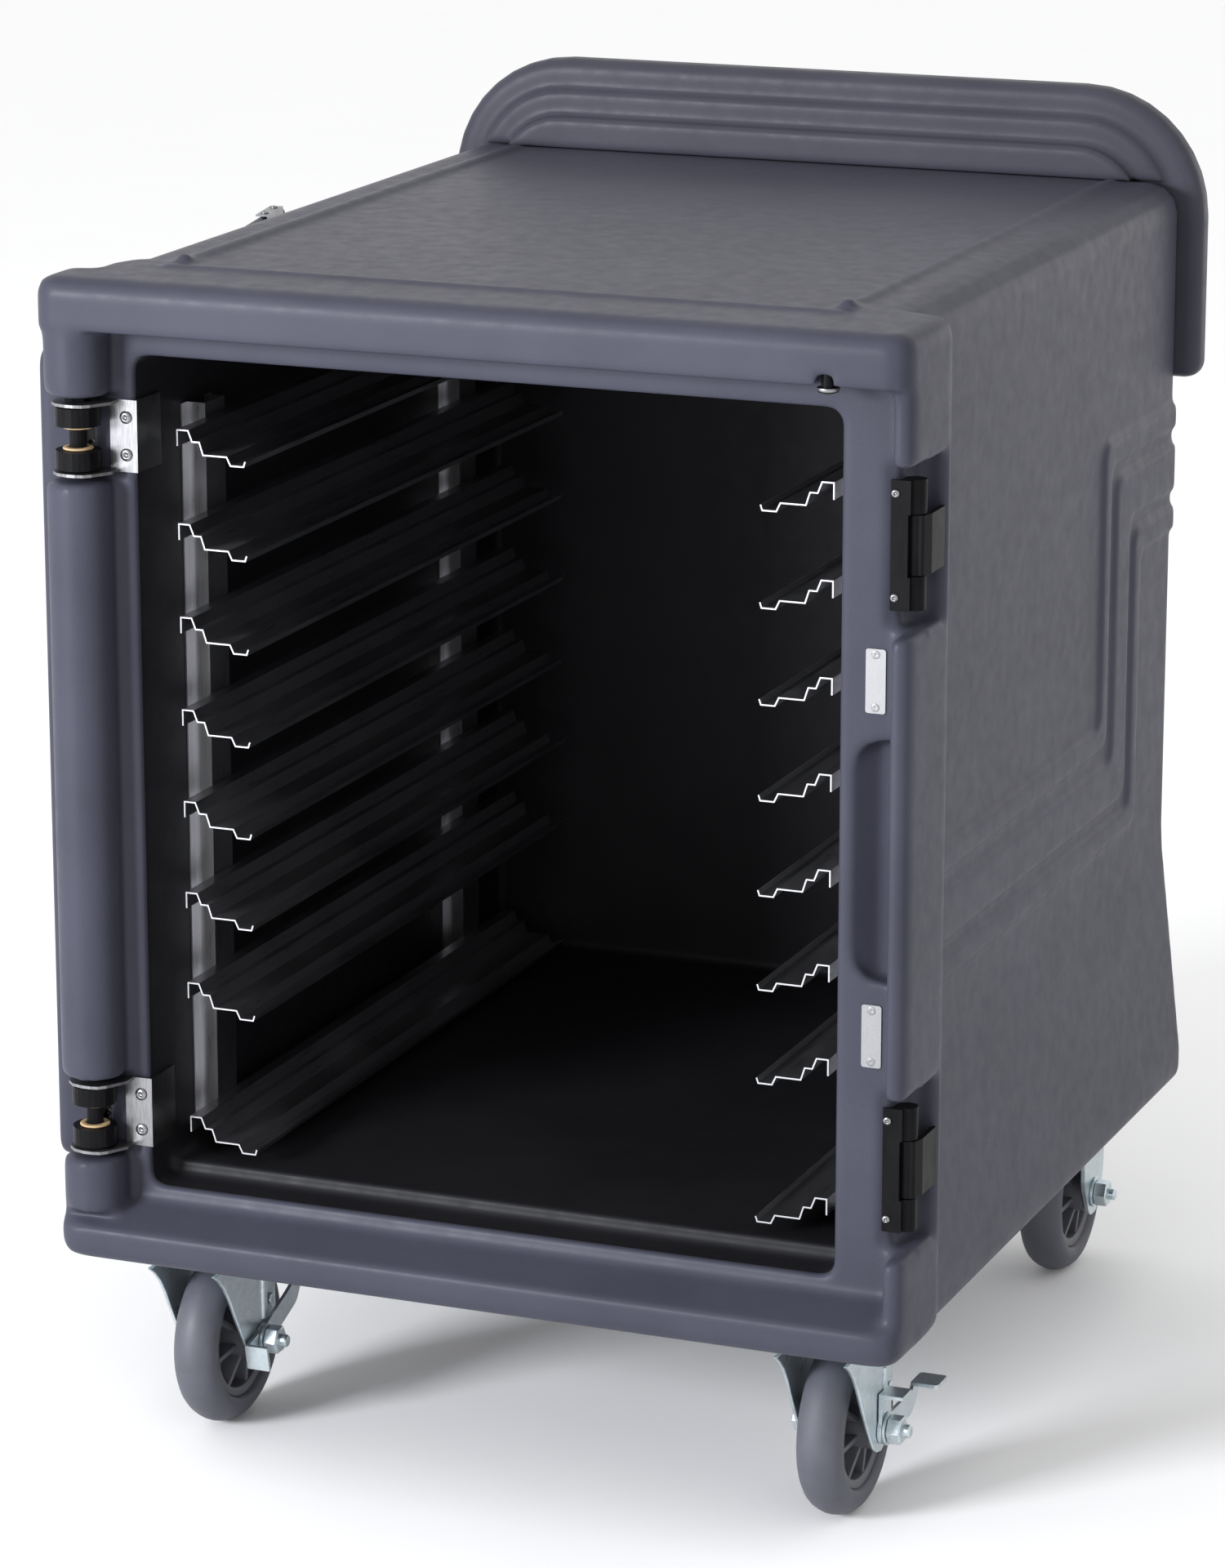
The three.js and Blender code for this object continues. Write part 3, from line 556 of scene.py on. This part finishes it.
for place, z in LATCH_HEIGHTS:
    screws(f"latch_screws_{place}", "cabinet", "screw",
           [(at(338, 43.6, z + dz), FORWARD) for dz in (-40, 40)], 3.4, 1.8)
for place, z in STRIKE_HEIGHTS:
    screws(f"strike_screws_{place}", "cabinet", "screw",
           [(at(325, 40.9, z + dz), FORWARD) for dz in (-20.5, 20.5)], 3.3, 0.16)
for place, z in HINGE_HEIGHTS:
    screws(f"hinge_screws_{place}", "cabinet", "screw",
           [(at(-302, 42.3, z + dz), FORWARD) for dz in (-15, 15)], 5.2, 2.2)

    def washers(bm, z=z):
        for low in (z - 9.6, z + 7.6):
            add_lathe(bm, at(HINGE_X, HINGE_Y, low), (0, 0, 1),
                      WASHER, 40)
    piece(f"hinge_washers_{place}", washers, "tan", "cabinet")
    screws(f"hinge_arm_screws_{place}", "door", "screw",
           [(on_door(42, 0.9, z + dz), -DOOR_ACROSS) for dz in (-14, 14)], 3.6, 1.6)

screws("lock_bracket_screws", "door", "screw",
       [(on_door(a, 5.1, 934), (0, 0, 1)) for a in (614, 646)], 3.6, 1.6)

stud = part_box("vent_eyelet")
stud_centre = Vector(((stud[0][0] + stud[1][0]) / 2, (stud[0][1] + stud[1][1]) / 2, stud[0][2]))
STUD_CAP = [
    (0, -1.6), (4.4, -1.4), (7.2, -0.2), (8.6, 1.4), (8.8, 3.2), (8.1, 3.4), (8.1, 0.6), (0, -0.2),
]
piece("vent_stud_cap", lambda bm: add_lathe(bm, stud_centre, (0, 0, 1), STUD_CAP, 40), "bright", "cabinet")

# ---------------------------------------------------------------- wheels, axles and forks

TREAD = [
    (52.0, 15.0), (53.4, 17.6), (56.2, 19.1), (60.0, 19.4), (63.8, 18.4), (67.2, 16.1), (70.0, 12.8),
    (72.2, 8.6), (73.6, 4.2), (74.0, 0.0),
]


def wheel_tread(bm, centre):
    half = TREAD + [(r, -x) for r, x in reversed(TREAD[:-1])]
    add_lathe(bm, centre, (1, 0, 0), half + [(51.0, -12.0), (51.0, 12.0), half[0]], 112)


def wheel_core(bm, centre):
    rim = [(44.5, 13.5), (47.5, 15.0), (51.6, 15.0), (51.6, -15.0), (47.5, -15.0), (44.5, -13.5), (43.2, -4),
           (43.2, 4), (44.5, 13.5)]
    add_lathe(bm, centre, (1, 0, 0), rim, 80)
    add_lathe(bm, centre, (1, 0, 0), [(17, 2.6), (44, 2.6), (44, -2.6), (17, -2.6), (17, 2.6)], 72)
    hub = [(7.5, 26.2), (16.2, 26.2), (17.8, 24.4), (20.0, 4), (20.0, -4), (17.8, -24.4), (16.2, -26.2),
           (7.5, -26.2), (7.5, 26.2)]
    add_lathe(bm, centre, (1, 0, 0), hub, 56)
    for k in range(8):
        turn = Matrix.Rotation(math.radians(45 * k + 12), 4, "X")
        across = turn @ Vector((0, 1, 0))
        base = Vector(centre) + turn @ Vector((0, 0, -2.4 * MM))
        rib = [(18.0, -17.0), (45.5, -12.5), (45.5, 12.5), (18.0, 17.0)]
        add_prism(bm, rib, base, across, (1, 0, 0), -4.8)


for place, (x, y) in PLACES.items():
    front = place.startswith("front")
    carrier_body = f"swivel_{place}" if front else "cabinet"
    wheel_body = f"wheel_{place}"
    centre = at(x, y, WHEEL_R)
    rim = piece(f"tread_{place}", lambda bm: wheel_tread(bm, centre), "tread", wheel_body)
    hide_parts(f"caster_wheel_{place}")
    piece(f"core_{place}", lambda bm: wheel_core(bm, centre), "core", wheel_body, bevel=0.8)

    def axle(bm, centre=centre, face=LEVER_FACE if front else LEG_FACE):
        for side, start in ((1, face), (-1, LEG_FACE)):
            end = start + 2.2
            ring = [(6.8, start), (13.5, start), (13.5, end), (6.8, end), (6.8, start)]
            add_lathe(bm, centre, (side, 0, 0), ring, 36)
        add_hex(bm, centre, (1, 0, 0), 21, face + 2.3, face + 14)
        stem = [(0, face + 12), (5.4, face + 12), (5.4, face + 19), (4.4, face + 20.4), (0, face + 20.4)]
        add_lathe(bm, centre, (1, 0, 0), stem, 28)
        add_hex(bm, centre, (-1, 0, 0), 21, 33.6, 42)
    piece(f"axle_{place}", axle, "zinc", carrier_body, bevel=0.4)


LEG = [
    (-25, -3), (-19, -12), (-10, -18), (0, -20), (9, -17), (14, -10), (15, 0), (14, 14), (14, 81), (-86, 81),
    (-76, 74), (-66, 64), (-57, 51), (-47, 33), (-36, 14),
]


def swivel_fork(bm, centre):
    """Two leaning legs under a crown that stays behind the front of the body."""
    for x in (-31, 27.6):
        add_prism(bm, LEG, Vector(centre) + Vector((x * MM, 0, 0)), (0, 1, 0), (0, 0, 1), 3.4)
    crown = [(-58, 77.2), (13.6, 77.2), (13.6, 80.8), (-58, 80.8)]
    add_prism(bm, crown, Vector(centre) + Vector((-27.2 * MM, 0, 0)), (0, 1, 0), (0, 0, 1), 54.4)


def brake_housing(bm, centre):
    """Pressed housing behind the fork's outer leg, a rib down the leg and two bolt heads."""
    def place(x, y, z):
        return Vector(centre) + Vector((x, y, z)) * MM
    shell = [(14.4, 8), (33, 10), (37, 16), (37, 62), (14.4, 70)]
    add_prism(bm, shell, place(20.6, 0, 0), (0, 1, 0), (0, 0, 1), 6.6)
    add_rod(bm, [place(30.8, 4, z) for z in (15, 17, 34, 48, 50)], 2.3, 10)
    for y, z in ((22, 27), (25, 50)):
        add_hex(bm, place(27.0, y, z), (1, 0, 0), 9, 0, 4.4)


for place in ("front_left", "front_right"):
    x, y = PLACES[place]
    fork = piece(f"fork_{place}", lambda bm: swivel_fork(bm, at(x, y, WHEEL_R)), "zinc", f"swivel_{place}",
                 bevel=1.0)
    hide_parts(f"caster_fork_{place}")
    piece(f"brake_housing_{place}", lambda bm: brake_housing(bm, at(x, y, WHEEL_R)), "zinc",
          f"swivel_{place}", bevel=0.8)

# ---------------------------------------------------------------- studio

floor_z = cad_box[0][2]
floor_mesh = bpy.data.meshes.new("studio_floor")
reach = 30.0
floor_mesh.from_pydata(
    [(-reach, -reach, floor_z), (reach, -reach, floor_z), (reach, reach, floor_z), (-reach, reach, floor_z)],
    [], [(0, 1, 2, 3)],
)
floor = bpy.data.objects.new("studio_floor", floor_mesh)
bpy.context.scene.collection.objects.link(floor)
g = Graph("studio_white")
paper = g.mix(g.span(g.noise(3, 3), 0.3, 0.7, 0, 1), (0.935, 0.935, 0.935), (0.945, 0.945, 0.945))
floor_mesh.materials.append(g.finish(paper, g.span(g.noise(9, 3), 0.3, 0.7, 0.7, 0.85)))

world = bpy.data.worlds.new("studio")
bpy.context.scene.world = world
world.use_nodes = True
sky = world.node_tree.nodes["Background"]
sky.inputs["Color"].default_value = (1.0, 1.0, 1.0, 1.0)
sky.inputs["Strength"].default_value = 1.0


def soft_light(name, place, target, width, height, power, colour=(1, 1, 1)):
    data = bpy.data.lights.new(name, "AREA")
    data.shape = "RECTANGLE"
    data.size = width
    data.size_y = height
    data.energy = power
    data.color = colour
    lamp = bpy.data.objects.new(name, data)
    lamp.location = place
    lamp.rotation_euler = (Vector(target) - Vector(place)).to_track_quat("-Z", "Y").to_euler()
    bpy.context.scene.collection.objects.link(lamp)


soft_light("key", (-2.4, -4.4, 1.7), (0, -0.2, 0.8), 1.4, 1.2, 345, (0.93, 0.95, 1.0))
soft_light("rim", (1.5, 4.6, 0.9), (0.3, 0.2, 0.5), 1.0, 1.4, 6, (1.0, 0.98, 0.95))

camera_data = bpy.data.cameras.new("camera")
camera_data.sensor_width = 36
camera_data.lens = 127.63
camera_data.clip_end = 100
camera = bpy.data.objects.new("camera", camera_data)
camera.location = at(1662.1, -3803.3, 1707.8)
camera.rotation_euler = (math.radians(90 - 14.834), 0, math.radians(21.968))
bpy.context.scene.collection.objects.link(camera)
bpy.context.scene.camera = camera
bpy.context.scene.view_settings.view_transform = "Standard"
